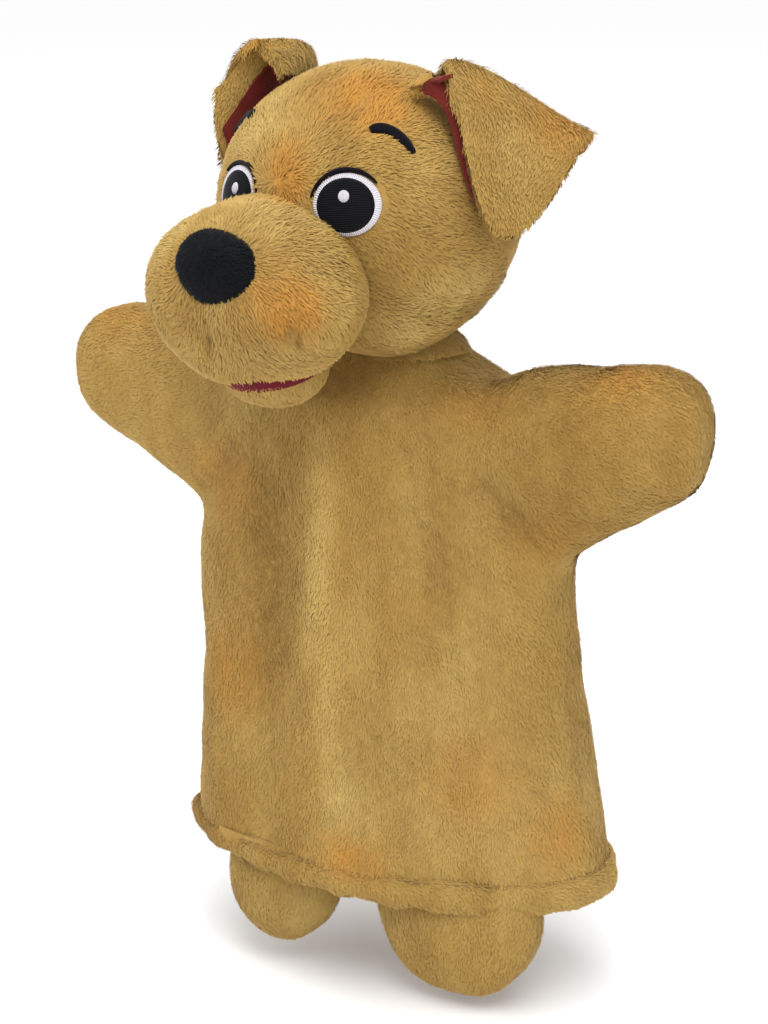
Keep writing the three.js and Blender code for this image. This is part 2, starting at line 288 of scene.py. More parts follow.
def lining(name, dark, light):
    """Short-napped red cloth with a fine woven grain."""
    f = Finish(name)
    patch = f.noise(120.0, 3.0).spread(0.3, 0.7)
    grain = f.noise(1600.0, 3.0)
    colour = f.mix(dark, light, 0.3 * patch + 0.7 * grain)
    return f.close(
        colour, 0.85, f.bump(grain, 0.5, 0.3), sheen_weight=0.3, sheen_roughness=0.5,
        sheen_tint=srgb(210, 120, 110), gloss=0.15,
    )

def black_cloth(name, pile):
    f = Finish(name)
    grain = f.noise(1300.0, 3.0)
    patch = f.noise(90.0, 2.0).spread(0.35, 0.65)
    colour = f.mix(srgb(7, 8, 11), srgb(17, 18, 22), 0.5 * grain + 0.4 * patch)
    if pile:
        along = f.node("ShaderNodeAttribute", {"attribute_name": "along"}, out="Fac")
        # Painted shade: the black tufts are darker at the root and lighter towards the tip.
        colour = f.mix(colour, srgb(22, 23, 27), 0.5 * along)
    normal = None if pile else f.bump(grain, 0.7, 0.5)
    return f.close(
        colour, 0.85, normal, sheen_weight=0.03, sheen_roughness=0.4, gloss=0.12
    )

def fibre(name):
    """Loose white polyester fibre."""
    f = Finish(name)
    strands = f.noise(420.0, 6.0, (1, 0.4, 1), 0.7)
    colour = f.mix(srgb(206, 204, 198), srgb(246, 245, 241), strands)
    return f.close(colour, 0.9, f.bump(strands, 0.9, 1.2), sheen_weight=0.2)

def card(name):
    """Grey rolled card, with its flecks and a faint winding."""
    f = Finish(name)
    flecks = f.noise(2200.0, 4.0).spread(0.45, 0.75)
    height = f.along((0, 0, 1))
    winding = (height * 900.0).sine() * 0.5 + 0.5
    colour = f.mix(srgb(150, 146, 138), srgb(186, 182, 172), 0.6 * flecks + 0.3 * winding)
    return f.close(colour, 0.82, f.bump(flecks + 0.4 * winding, 0.35, 0.2))

def knit_back(name):
    """The knitted back of the plush, as it shows inside the glove."""
    f = Finish(name)
    rows = (f.along((0, 0, 1)) * 3900.0).sine() * 0.5 + 0.5
    wales = (f.along((0.94, 0.34, 0)) * 3900.0).sine() * 0.5 + 0.5
    patch = f.noise(60.0, 2.0)
    colour = f.mix(srgb(186, 150, 92), srgb(214, 180, 122), 0.5 * rows * wales + 0.5 * patch)
    return f.close(colour, 0.88, f.bump(rows * wales, 0.5, 0.35), sheen_weight=0.1)

def thread(name, dark, light, right, up, middle, radial, pitch, sheen=0.25):
    """Satin stitch: threads side by side, out from the middle or straight across."""
    f = Finish(name)
    a = f.along(right, middle)
    b = f.along(up, middle)
    if radial:
        turn = f.node("ShaderNodeMath", {"operation": "ARCTAN2"}, {0: b, 1: a})
        lines = (turn * radial + 1.5 * f.noise(500.0, 1.0)).sine()
    else:
        lines = (b * (math.tau / (pitch * MM)) + 2.0 * f.noise(350.0, 1.0)).sine()
    height = lines * 0.5 + 0.5
    # Painted shade: the colour follows the height, darker in the grooves between the threads and paler on
    # their crowns.
    colour = f.mix(dark, light, 0.75 * height + 0.25 * f.noise(1500.0, 2.0))
    return f.close(
        colour, 0.5, f.bump(height, 0.8, 0.35), sheen_weight=sheen, sheen_roughness=0.3,
        gloss=0.9 * sheen,
    )

GOLD_BASE = plush("gold plush cloth", False)
GOLD_PILE = plush("gold plush pile", True)
HEM_BASE = plush("hem plush cloth", False, 0.95)
HEM_PILE = plush("hem plush pile", True, 1.0)
INSIDE = knit_back("knitted back of the plush")
BLACK_BASE = black_cloth("black plush cloth", False)
BLACK_PILE = black_cloth("black plush pile", True)
EAR_RED = lining("ear lining cloth", srgb(58, 15, 12), srgb(108, 33, 26))
MOUTH_RED = lining("mouth felt", srgb(62, 8, 20), srgb(104, 20, 36))
FIBRE = fibre("polyester fibre")
CARD = card("grey card")
HEM_THREAD = thread(
    "gold thread", srgb(128, 92, 44), srgb(180, 138, 76), (1, 0, 0), (0.6, 0.3, 0.74), (0, 0, 0),
    0, 0.3,
)

# ---- mesh helpers, all in millimetres

HEAD_SPIN = Matrix.Rotation(math.radians(-12), 4, "Z")

def loft(rows, close_start=True, close_end=True):
    """A tube through rings of points, each ring with as many points as the first."""
    bm = bmesh.new()
    ring = bmesh.ops.create_circle(bm, segments=len(rows[0]), radius=1)["verts"]
    edges = bm.edges[:]
    if close_start:
        bmesh.ops.contextual_create(bm, geom=edges)
    for vert, point in zip(ring, rows[0]):
        vert.co = point
    for row in rows[1:]:
        made = bmesh.ops.extrude_edge_only(bm, edges=edges)["geom"]
        fresh = {g for g in made if isinstance(g, bmesh.types.BMVert)}
        ring = [next(e.other_vert(v) for e in v.link_edges if e.other_vert(v) in fresh) for v in ring]
        edges = [g for g in made if isinstance(g, bmesh.types.BMEdge) and set(g.verts) <= fresh]
        for vert, point in zip(ring, row):
            vert.co = point
    if close_end:
        bmesh.ops.contextual_create(bm, geom=edges)
    bmesh.ops.recalc_face_normals(bm, faces=bm.faces[:])
    return bm

def ball(middle, half, segments=48, rings=28):
    bm = bmesh.new()
    bmesh.ops.create_uvsphere(bm, u_segments=segments, v_segments=rings, radius=1)
    bmesh.ops.scale(bm, vec=Vector(half), verts=bm.verts)
    bmesh.ops.translate(bm, vec=Vector(middle), verts=bm.verts)
    return bm

def joined(parts):
    """Several shapes in one bmesh."""
    whole = bmesh.new()
    for part in parts:
        mesh = bpy.data.meshes.new("part")
        part.to_mesh(mesh)
        whole.from_mesh(mesh)
        bpy.data.meshes.remove(mesh)
        part.free()
    return whole

def remeshed(bm, voxel):
    """One even skin round everything in the bmesh."""
    mesh = bpy.data.meshes.new("rough")
    bm.to_mesh(mesh)
    bm.free()
    rough = add_object("rough", mesh)
    skin = rough.modifiers.new("skin", "REMESH")
    skin.mode = "VOXEL"
    skin.voxel_size = voxel
    graph = bpy.context.evaluated_depsgraph_get()
    even = bpy.data.meshes.new_from_object(rough.evaluated_get(graph))
    out = bmesh.new()
    out.from_mesh(even)
    bpy.data.objects.remove(rough)
    bpy.data.meshes.remove(mesh)
    bpy.data.meshes.remove(even)
    return out

def smooth(bm, times, where=None):
    verts = [v for v in bm.verts if where is None or where(v.co)]
    for _ in range(times):
        bmesh.ops.smooth_vert(
            bm, verts=verts, factor=0.5, use_axis_x=True, use_axis_y=True, use_axis_z=True
        )

def points(bm):
    return np.array([v.co for v in bm.verts], float).reshape(-1, 3)

def move(bm, co):
    for vert, place in zip(bm.verts, co):
        vert.co = place
    bm.normal_update()

def push(bm, amount):
    """Each vertex goes along its normal by amount(points, normals)."""
    bm.normal_update()
    co = points(bm)
    normals = np.array([v.normal for v in bm.verts], float).reshape(-1, 3)
    move(bm, co + normals * amount(co, normals)[:, None])

def cut(bm, middle, normal):
    """What is left on the side that normal points to."""
    left = bm.copy()
    bmesh.ops.bisect_plane(
        left, geom=left.verts[:] + left.edges[:] + left.faces[:], dist=1e-5,
        plane_co=Vector(middle), plane_no=Vector(normal), clear_inner=True,
    )
    return left

def dip(x, middle, width):
    return np.exp(-(((x - middle) / width) ** 2))

def wall(bm, thickness):
    """Gives a skin its thickness inwards and returns the faces that were there before."""
    outer = bm.faces[:]
    for edge in bm.edges:
        if len(edge.link_faces) == 1:
            edge.smooth = False
    bm.normal_update()
    made = bmesh.ops.extrude_face_region(bm, geom=outer, use_keep_orig=True)["geom"]
    fresh = [g for g in made if isinstance(g, bmesh.types.BMVert)]
    for vert in fresh:
        vert.co -= vert.normal * thickness
    bmesh.ops.reverse_faces(bm, faces=[g for g in made if isinstance(g, bmesh.types.BMFace)])
    bmesh.ops.recalc_face_normals(bm, faces=bm.faces[:])
    return set(outer)

def lined(skin, thickness):
    """Gives the plush its wall, with a second finish on the inside."""
    outer = wall(skin, thickness)
    for face in skin.faces:
        face.material_index = int(face not in outer)

def area_of(bm):
    """Square metres of a skin in millimetres, before it gets its wall."""
    return sum(face.calc_area() for face in bm.faces) * MM * MM

def make(name, bm, materials, slot, head=False, body=None, blend=None, replaces=()):
    """Turns a shape in millimetres into a finished piece on its body."""
    if head:
        bm.transform(HEAD_SPIN)
    mesh = bpy.data.meshes.new(name)
    for face in bm.faces:
        face.smooth = True
    bm.to_mesh(mesh)
    bm.free()
    mesh.transform(Matrix.Scale(MM, 4))
    for material in materials:
        mesh.materials.append(material)
    piece = add_object(name, mesh)
    place(piece, slot, body, blend)
    if replaces:
        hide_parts(*replaces)
    return piece

def place(piece, slot, body, blend):
    if body:
        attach(piece, body)
    if blend:
        first, second, start, end = blend
        [c * MM for c in start]
        [c * MM for c in end]
        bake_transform(piece)

def spun(point):
    """A point of the head in the part's frame, still in millimetres."""
    return HEAD_SPIN @ Vector(point)

# ---- pile

PILE_SEED = 4100

def wander(co, scale):
    """A smooth wandering value from -1 to 1 over space."""
    x, y, z = (co / scale).T
    return (
        np.sin(1.7 * x + 2.3 * z + 0.8 * np.sin(1.3 * y + 0.7 * z))
        + np.sin(-1.1 * x + 1.9 * y + 1.3 * z + 1.1 * np.sin(0.9 * x - 1.2 * z))
        + np.sin(2.9 * x - 1.6 * y + 0.6 * z)
    ) / 3

def skin_of(bm, head=False):
    """Triangles and their smooth normals, as arrays, from a skin before it gets its wall."""
    if head:
        bm.transform(HEAD_SPIN)
    bm.normal_update()
    corners, normals = [], []
    for loops in bm.calc_loop_triangles():
        corners.append([loop.vert.co[:] for loop in loops])
        normals.append([loop.vert.normal[:] for loop in loops])
    if head:
        bm.transform(HEAD_SPIN.inverted())
    return np.array(corners), np.array(normals)

def pile(name, skin, per_mm2, length, width, lean, comb, material, slot, keep=None, swirl=0.5,
         tone=lambda root, up: 0.0, **placing):
    """Leaf-shaped tufts of two faces each, rooted all over a skin and combed one way."""
    global PILE_SEED
    PILE_SEED += 1
    rng = np.random.default_rng(PILE_SEED)
    corners, normals = skin
    area = np.linalg.norm(
        np.cross(corners[:, 1] - corners[:, 0], corners[:, 2] - corners[:, 0]), axis=1
    ) / 2
    count = int(area.sum() * per_mm2)
    chosen = rng.choice(len(area), count, p=area / area.sum())
    r1, r2 = rng.random((2, count))
    r1 = np.sqrt(r1)
    share = np.stack([1 - r1, r1 * (1 - r2), r1 * r2], 1)[:, :, None]
    root = (corners[chosen] * share).sum(1)
    up = (normals[chosen] * share).sum(1)
    if keep is not None:
        kept = keep(root, up)
        root, up = root[kept], up[kept]
    count = len(root)
    up /= np.linalg.norm(up, axis=1)[:, None]
    flow = comb(root, up)
    turn = swirl * wander(root, 9.0) + 0.4 * swirl * wander(root, 3.1) + rng.normal(0, 0.14, count)
    flow = flow - up * (flow * up).sum(1)[:, None]
    flow /= np.maximum(np.linalg.norm(flow, axis=1), 1e-6)[:, None]
    side = np.cross(up, flow)
    flow, side = (
        flow * np.cos(turn)[:, None] + side * np.sin(turn)[:, None],
        side * np.cos(turn)[:, None] - flow * np.sin(turn)[:, None],
    )
    size = length * (0.75 + 0.5 * rng.random(count)) * (1 + 0.15 * wander(root, 6.0))
    tilt = np.radians(lean + 5 * wander(root, 7.0) + rng.normal(0, 3.5, count))
    rise, run = (size * np.sin(tilt))[:, None], (size * np.cos(tilt))[:, None]
    half = (width / 2 * (0.8 + 0.4 * rng.random(count)))[:, None]
    base = root - up * 0.25
    middle = root + flow * run * 0.42 + up * rise * 0.62
    tip = root + flow * run + up * rise
    co = np.stack([base, middle - side * half, middle + side * half, tip], 1).reshape(-1, 3) * MM
    first = np.arange(count)[:, None] * 4
    faces = np.concatenate([first + (0, 1, 2), first + (1, 3, 2)], 1).reshape(-1, 3)
    mesh = bpy.data.meshes.new(name)
    mesh.vertices.add(len(co))
    mesh.vertices.foreach_set("co", co.astype(np.float32).ravel())
    mesh.loops.add(faces.size)
    mesh.loops.foreach_set("vertex_index", faces.astype(np.int32).ravel())
    mesh.polygons.add(len(faces))
    mesh.polygons.foreach_set("loop_start", np.arange(len(faces), dtype=np.int32) * 3)
    mesh.polygons.foreach_set("use_smooth", np.ones(len(faces), dtype=bool))
    mesh.update(calc_edges=True)
    along = mesh.attributes.new("along", "FLOAT", "POINT")
    along.data.foreach_set("value", np.tile((0, 0.55, 0.55, 1), count).astype(np.float32))
    tint_and_shade = mesh.attributes.new("tint_and_shade", "FLOAT", "POINT")
    # A random tone for each tuft, plus tone(), which paints shade and highlight into the pile.
    shade = 0.5 + 0.07 * rng.normal(size=count) + 0.1 * wander(root, 2.3) + tone(root, up)
    shade = np.clip(shade, 0, 1)
    tint_and_shade.data.foreach_set("value", np.repeat(shade, 4).astype(np.float32))
    columns = math.ceil(math.sqrt(count))
    cell = np.stack([np.arange(count) % columns, np.arange(count) // columns], 1)[:, None, :]
    corner = np.array([(0.1, 0.1), (0.9, 0.12), (0.12, 0.9), (0.9, 0.9)])
    uv = ((cell + corner) / columns).reshape(-1, 2)[faces.ravel()]
    mesh.uv_layers.new(name="OFBake").data.foreach_set("uv", uv.astype(np.float32).ravel())
    soft = up + (up * np.cos(tilt)[:, None] - flow * np.sin(tilt)[:, None]) * 0.3
    soft /= np.linalg.norm(soft, axis=1)[:, None]
    mesh.normals_split_custom_set_from_vertices(np.repeat(soft, 4, 0).tolist())
    mesh.materials.append(material)
    piece = add_object(name, mesh)
    place(piece, slot, placing.get("body"), placing.get("blend"))
    return piece

def down(root, up):
    """The nap of the body runs down and a little out from the middle."""
    flow = np.tile((0.0, 0.0, -1.0), (len(root), 1))
    flow[:, 0] = np.clip(root[:, 0] / 160, -0.5, 0.5) * 0.8
    out = np.clip((np.abs(root[:, 0]) - 46) / 22, 0, 1) * (root[:, 2] > 96)
    flow[:, 0] += out * np.sign(root[:, 0]) * 1.6
    return flow

# ---- body of the glove

# height, middle in x, half width, half depth
TORSO = [
    (-3, 3.4, 71.4, 41.4), (9, 3.3, 71.2, 40.8), (31, 1.8, 68.8, 38.6), (60, 0.0, 63.9, 35.6),
    (82, -1.8, 63.6, 34.4), (94, -2.2, 63.9, 33.6), (101, -2.0, 63.4, 33.2), (108, -1.0, 61.8, 32.8),
    (118, -0.4, 57.0, 32), (140, 0, 49.6, 29.8), (152, 0, 44.5, 28.2), (157, 0, 35.5, 26),
    (160.5, 0, 26, 23.2), (163.5, 0, 21.8, 21), (167.5, 0, 19.4, 19), (170.5, 0, 17, 16.6),
]
HEM_FULLNESS = 1.96
TORSO_FULLNESS = 2.3
FULL_FROM = 70  # height from which the trunk has its full roundness

# distance from the middle, bottom, top, half depth
ARM = [
    (28, 112, 148, 16), (40, 104, 159, 21), (50, 101.8, 162.2, 22.2), (60, 103.8, 163.8, 22),
    (70, 109, 165, 21), (80, 115.4, 165.8, 20), (88, 120.4, 166.2, 18.8), (94, 124.2, 165.2, 17.2),
    (98.6, 127.8, 163.2, 14.8), (101.9, 131.6, 160.2, 11.6), (104, 136, 156.2, 7.8),
    (105, 140.6, 151.2, 3.8),
]
ARMHOLE = Vector((0.95, 0, 0.312)).normalized()
ARMHOLE_AT = 94.6
ELBOW_X = 74.0
ELBOW_Z = 142.4
HEM_TOP = 5.3
NECK_CUT = 167.0
CLOTH_WALL, HEAD_WALL, EAR_WALL, NECK_WALL, THIN_WALL = 1.8, 2.0, 2.6, 1.6, 1.0

def rounded(half_a, half_b, fullness, count, ring):
    """Points of a rounded rectangle; ring puts the two measures into space."""
    turns = np.arange(count) / count * math.tau
    c, s = np.cos(turns), np.sin(turns)
    power = 2 / fullness
    a = np.sign(c) * np.abs(c) ** power * half_a
    b = np.sign(s) * np.abs(s) ** power * half_b
    return [ring(x, y) for x, y in zip(a, b)]

def torso_skin():
    rows = []
    for height, middle, width, depth in TORSO:
        risen = min(1, max(0, height / FULL_FROM))
        fullness = HEM_FULLNESS + (TORSO_FULLNESS - HEM_FULLNESS) * risen
        rows.append(rounded(width, depth, fullness, 72, lambda a, b: (middle + a, b, height)))
    return loft(rows)

def arm_skin(side):
    rows = []
    for reach, bottom, top, depth in ARM:
        if side < 0:
            bottom += 4.6 * math.exp(-((reach - 84) / 24) ** 2)
            top += 1.2
            reach += max(0, reach - 60) * 0.18
        middle = (bottom + top) / 2
        rows.append(rounded(
            (top - bottom) / 2, depth, 2.15, 48, lambda a, b: (side * reach, b, middle + a)
        ))
    return loft(rows)

def pulls(co, normals):
    """How far the hand's pull moves the skin in or out, in millimetres."""
    x, y, z = co.T
    front = np.clip(-normals[:, 1], 0, 1)
    back = np.clip(normals[:, 1], 0, 1)
    tall = dip(z, 95, 58)
    sway = 3 * np.sin(z / 37)
    ridge = 3.6 * dip(x, -6 + sway * 0.5, 8) * tall
    valley = -4.6 * dip(x, -28 + sway, 10) * dip(z, 92, 52)
    second = -2.6 * dip(x, 25 + (150 - z) * 0.16, 12) * dip(z, 112, 42)
    armpits = 0
    for side, strength in ((1, 3.0), (-1, 3.2)):
        fx, fz = side * 59, 111
        slant = (x - fx) * side * 0.75 + (z - fz) * 0.66
        along = -(x - fx) * side * 0.66 + (z - fz) * 0.75
        armpits = armpits - strength * dip(slant, 0, 4.5) * dip(along, 13, 17)
        slant = (x - side * 63) * side * 0.98 + (z - 104) * 0.2
        armpits = armpits - 1.6 * dip(slant, -6, 3.6) * dip(z, 94, 13)
    under_neck = -1.6 * dip(z, 158, 5) * dip(x, 0, 26)
    waist = -1.2 * dip(z, 46, 16) * dip(x, 22, 26)
    hand = (ridge + valley + second + armpits + under_neck + waist) * front
    rear = (-2.0 * dip(x, 8, 12) * dip(z, 100, 50) + armpits * 0.8) * back
    return hand + rear

def folds(co, normals):
    """The pulls, the side seams and the cloth's own loose set together."""
    x, y, z = co.T
    seam = -0.9 * dip(y, 0, 1.5) * (np.abs(normals[:, 1]) < 0.75)
    hem_pull = 1.3 * np.sin(x / 8.3 + 0.8) * dip(z, 14, 14) * np.abs(normals[:, 1])
    return pulls(co, normals) + seam + hem_pull + 0.8 * wander(co, 17) + 0.35 * wander(co, 8)

def painted_fold_shade(root, up):
    """Painted shade and highlight: pile is paler where the cloth stands out and deeper where it is drawn
    in.
    """
    return np.clip(0.075 * pulls(root, up) + 0.04 * wander(root, 24), -0.34, 0.26)

def body_skin():
    bm = remeshed(joined([torso_skin(), arm_skin(1), arm_skin(-1)]), 2.3)
    smooth(bm, 4)
    smooth(bm, 22, lambda c: 34 < abs(c.x) < 74 and c.z > 92)
    push(bm, folds)
    smooth(bm, 2)
    skin = cut(bm, (0, 0, HEM_TOP), (0, 0, 1))
    bm.free()
    top = [f for f in skin.faces
           if abs(f.calc_center_median().x) < 24 and f.calc_center_median().z > NECK_CUT]
    bmesh.ops.delete(skin, geom=top, context="FACES")
    return skin

BODY = body_skin()

def armhole_cut(bm, side, keep_arm):
    normal = Vector((side * ARMHOLE.x, 0, ARMHOLE.z))
    return cut(bm, normal * ARMHOLE_AT, normal if keep_arm else -normal)

def half_of(bm, y_side):
    return cut(bm, (0, 0, 0), (0, y_side, 0))

def cloth_piece(name, skin, **placing):
    """A piece of the glove's plush, and the area of its face."""
    area = area_of(skin)
    lined(skin, CLOTH_WALL)
    return make(name, skin, [GOLD_BASE, INSIDE], "gold_plush", **placing), area

def declare(piece, area, width, length, held, going=()):
    """Takes what cloth the piece was cut from but does nothing with it; the cut's own outline isn't a
    rectangle.
    """
    list(going)

# Painted shade: through tone, the body's pile is darker in the fold valleys and paler on the ridges.
NAP = dict(per_mm2=3.3, length=1.75, width=0.42, lean=15, slot="gold_plush", material=GOLD_PILE,
           tone=painted_fold_shade)

# The torso lies between the two armholes, its front and back panels meeting at the side seams.
trunk = armhole_cut(armhole_cut(BODY, 1, False), -1, False)
for name, y_side in (("front", -1), ("back", 1)):
    skin = half_of(trunk, y_side)
    tufts = pile(f"body_{name}_pile", skin_of(skin), comb=down, body="torso", **NAP)
    piece, area = cloth_piece(
        f"body_{name}_plush", skin, body="torso", replaces=[f"body_{name}_panel"]
    )
    declare(piece, area, 0.165, 0.178, "hung", [tufts])
trunk.free()

for word, side in SIDES.items():
    arm = armhole_cut(BODY, side, True)
    normal = Vector((side * ARMHOLE.x, 0, ARMHOLE.z))
    start = normal * ARMHOLE_AT
    parts = [
        ("sleeve", -side, ("torso", f"{word}_arm", start, start + normal * 13), (0.19, 0.042)),
        ("paw", side, (f"{word}_arm", f"{word}_hand", (side * ELBOW_X, 0, ELBOW_Z),
                       (side * (ELBOW_X + 14), 0, ELBOW_Z)), (0.15, 0.048)),
    ]
    for part, facing, joint, flat in parts:
        skin = cut(arm, (side * ELBOW_X, 0, 0), (facing, 0, 0))
        tufts = pile(f"{word}_{part}_pile", skin_of(skin), comb=down, blend=joint, **NAP)
        piece, area = cloth_piece(
            f"{word}_{part}_plush", skin, blend=joint, replaces=[f"{word}_{part}"]
        )
        declare(piece, area, *flat, "stretched", [tufts])
    arm.free()
BODY.free()

# ---- hem

HEM_RING = 160
HEM_MIDDLE = 3.5
HEM_SLOPE = 0.032
HEM_HALF = (71.0, 41.0)

def hem_ring(out, height, count=HEM_RING):
    """Once round the opening, that far outside the hem's middle line."""
    return rounded(HEM_HALF[0] + out, HEM_HALF[1] + out, HEM_FULLNESS, count,
                   lambda a, b: (HEM_MIDDLE + a, b, height))

# how far outside the middle line, height
HEM_SECTION = [
    (-0.6, 6.2), (1.0, 5.7), (2.3, 4.6), (3.0, 3.1), (3.1, 1.2), (2.6, -0.3), (1.5, -1.5),
    (0, -2.1), (-1.3, -1.9), (-2.2, -0.9), (-2.5, 0.9), (-2.4, 3.6), (-2.0, 6.0), (-0.8, 6.4),
]

def hem_waves(co, normals):
    x, y, z = co.T
    turn = np.arctan2(y, x)
    seam = -1.0 * dip(y, 0, 2) * (normals[:, 1] ** 2 < 0.5)
    return (
        0.45 * np.sin(turn * 17 + 1.3) + 0.35 * np.sin(turn * 29 + 0.4) + 0.3 * wander(co, 9) + seam
    )

def hem_skin():
    bm = loft([hem_ring(*row) for row in HEM_SECTION + HEM_SECTION[:1]], False, False)
    bmesh.ops.remove_doubles(bm, verts=bm.verts, dist=1e-3)
    bmesh.ops.recalc_face_normals(bm, faces=bm.faces[:])
    push(bm, hem_waves)
    for vert in bm.verts:  # the lower edge hangs deeper on the left
        low = min(1, max(0, (HEM_TOP + 1 - vert.co.z) / 8))
        vert.co.z -= HEM_SLOPE * vert.co.x * low
    return bm

def hem_comb(root, up):
    flow = np.tile((0.0, 0.0, -1.0), (len(root), 1))
    turn = np.arctan2(root[:, 1] / 42, root[:, 0] / 73)
    flow[:, 0] += -np.sin(turn) * 0.7
    flow[:, 1] += np.cos(turn) * 0.7
    return flow

def outside_hem(root, up):
    return up[:, 0] * root[:, 0] / 73 + up[:, 1] * root[:, 1] / 42 - up[:, 2] * 0.5 > -0.25

HEM = hem_skin()
HEM_LENGTH = 0.186
HEM_CUT = 0.014
STITCH_Z = 6.1
STITCH_SIZE = (3.1, 2.3, 0.36)  # pitch, length, thread radius
for name, y_side in (("front", -1), ("back", 1)):
    band = half_of(HEM, y_side)
    tufts = pile(
        f"hem_{name}_pile", skin_of(band), 3.2, 1.7, 0.42, 13, hem_comb, HEM_PILE,
        "gold_plush_hem", keep=outside_hem, body="torso",
    )
    band = make(
        f"hem_{name}_roll", band, [HEM_BASE], "gold_plush_hem", body="torso",
        replaces=[f"hem_{name}"],
    )
    declare(band, HEM_LENGTH * HEM_CUT, HEM_LENGTH, HEM_CUT, "folded", [tufts])
HEM.free()

def stitches():
    """Short stitches of gold thread, all round just under the top of the hem."""
    ring = np.array(hem_ring(1.0, STITCH_Z, 2000))
    run = np.concatenate([[0], np.cumsum(np.linalg.norm(np.diff(ring, axis=0), axis=1))])
    pitch, length, radius = STITCH_SIZE
    parts = []
    for number in range(int(run[-1] / pitch)):
        at = number * pitch
        start, end = (
            Vector([np.interp(at + d, run, ring[:, i]) for i in range(3)]) for d in (0, length)
        )
        stitch = bmesh.new()
        bmesh.ops.create_uvsphere(stitch, u_segments=6, v_segments=4, radius=1)
        bmesh.ops.scale(stitch, vec=Vector((radius, radius, length / 2)), verts=stitch.verts)
        turn = (end - start).to_track_quat("Z", "Y").to_matrix().to_4x4()
        stitch.transform(Matrix.Translation((start + end) / 2) @ turn)
        parts.append(stitch)
    return joined(parts)

make(
    "hem_stitches", stitches(), [HEM_THREAD], "gold_thread", body="torso",
    replaces=["hem_stitching"],
)

# ---- head and muzzle

SKULL_MIDDLE = np.array((-0.8, -9, 207.8))
SKULL_HALF = np.array((46.8, 43.5, 42.6))
MUZZLE_MIDDLE = np.array((-1.0, -58.3, 189.2))
MUZZLE_HALF = np.array((36.9, 26.2, 25.0))
NOSE_MIDDLE = np.array((2.9, -79.6, 199.2))
NOSE_HALF = np.array((13.5, 8.4, 10.7))
CHIN_MIDDLE = np.array((1.2, -54.0, 166.2))
CHIN_HALF = np.array((14.4, 16.4, 11.2))
NECK_HOLE = 13.5

def depth_in(co, middle, half):
    """How deep a point lies in an ellipsoid: under 1 inside, 1 on its skin."""
    return np.linalg.norm((co - middle) / half, axis=1)

def head_local(co):
    """Points of the part's frame in the head's own, which isn't turned."""
    return co @ np.array(HEAD_SPIN.to_3x3())

def skull_shape(co, normals):
    x, y, z = co.T
    seam = -0.7 * dip(x, 0, 1.3) * (z > 200)
    brow = 0.9 * dip(np.abs(x), 24, 10) * dip(z, 232, 9) * (y < -20)
    bridge = 1.8 * dip(x, 0, 13) * dip(z, 221, 14) * (y < -20)
    cheek = 1.2 * dip(np.abs(x), 36, 12) * dip(z, 188, 13) * (y < 5)
    cheek = cheek + 3.4 * dip(np.abs(x), 20, 14) * dip(z, 172, 9) * dip(y, -24, 16)
    return seam + brow + bridge + cheek + 0.45 * wander(co, 21)

def skull_skin():
    bm = ball(SKULL_MIDDLE, SKULL_HALF, 88, 56)
    push(bm, skull_shape)
    hole = [
        f for f in bm.faces
        if f.calc_center_median().z < 176 and f.calc_center_median().xy.length < NECK_HOLE
    ]
    bmesh.ops.delete(bm, geom=hole, context="FACES")
    return bm

def muzzle_shape(co, normals):
    px, py, pz = (co - MUZZLE_MIDDLE).T
    top = 2.0 * dip(px, 0, 15) * np.clip(pz / 26, 0, 1) * np.clip((py + 22) / 22, 0, 1.4)
    jowl = 1.0 * dip(np.abs(px), 17, 10) * dip(pz, -12, 9) * (py < 4)
    lip = 2.6 * dip(px, -6, 15) * dip(pz, -23, 9) * (py < 8)
    cheek = -2.2 * dip(px, 37, 12)
    return top + jowl + lip + cheek - 2.8 * darts(co) + 0.4 * wander(co, 15)

def darts(co):
    """1 along each of three short seams that gather the cloth under the nose, 0 elsewhere."""
    px, py, pz = (co - MUZZLE_MIDDLE).T
    total = 0
    for across, height in ((-24.0, -8), (1.5, -11), (26.5, -7.5)):
        lean = px - across - (pz - height) * 0.3
        total = total + dip(lean, 0, 1.7) * dip(pz, height, 5.0) * (py < 5)
    return total

# Painted shade: the pile darkens along the dart creases under the nose, with a little random tone.
def painted_dart_shade(root, up):
    return 0.03 * wander(root, 11) - 0.3 * darts(head_local(root))

def head_comb(root, up):
    """The nap runs back from the nose and down the cheeks."""
    local = head_local(root)
    flow = np.stack([local[:, 0] * 0.022, np.full(len(root), 0.55), np.full(len(root), -0.35)], 1)
    flow[:, 2] += np.clip((local[:, 2] - 215) / 30, 0, 1) * 1.1
    return flow @ np.array(HEAD_SPIN.to_3x3()).T

def muzzle_comb(root, up):
    local = head_local(root) - NOSE_MIDDLE
    flow = local / np.maximum(np.linalg.norm(local, axis=1), 1)[:, None]
    flow[:, 1] += 0.4
    flow[:, 2] -= 0.35
    return flow @ np.array(HEAD_SPIN.to_3x3()).T

EYE_SPOTS = {"left": (23.0, -36.6, 7.4), "right": (15.8, -39.6, 6.2)}
BROW_ON_SKULL = (27.5, -23.0, 25.2)
WHITE_HALF = (9.9, 8.8)
PUPIL_HALF = (8.3, 7.6)

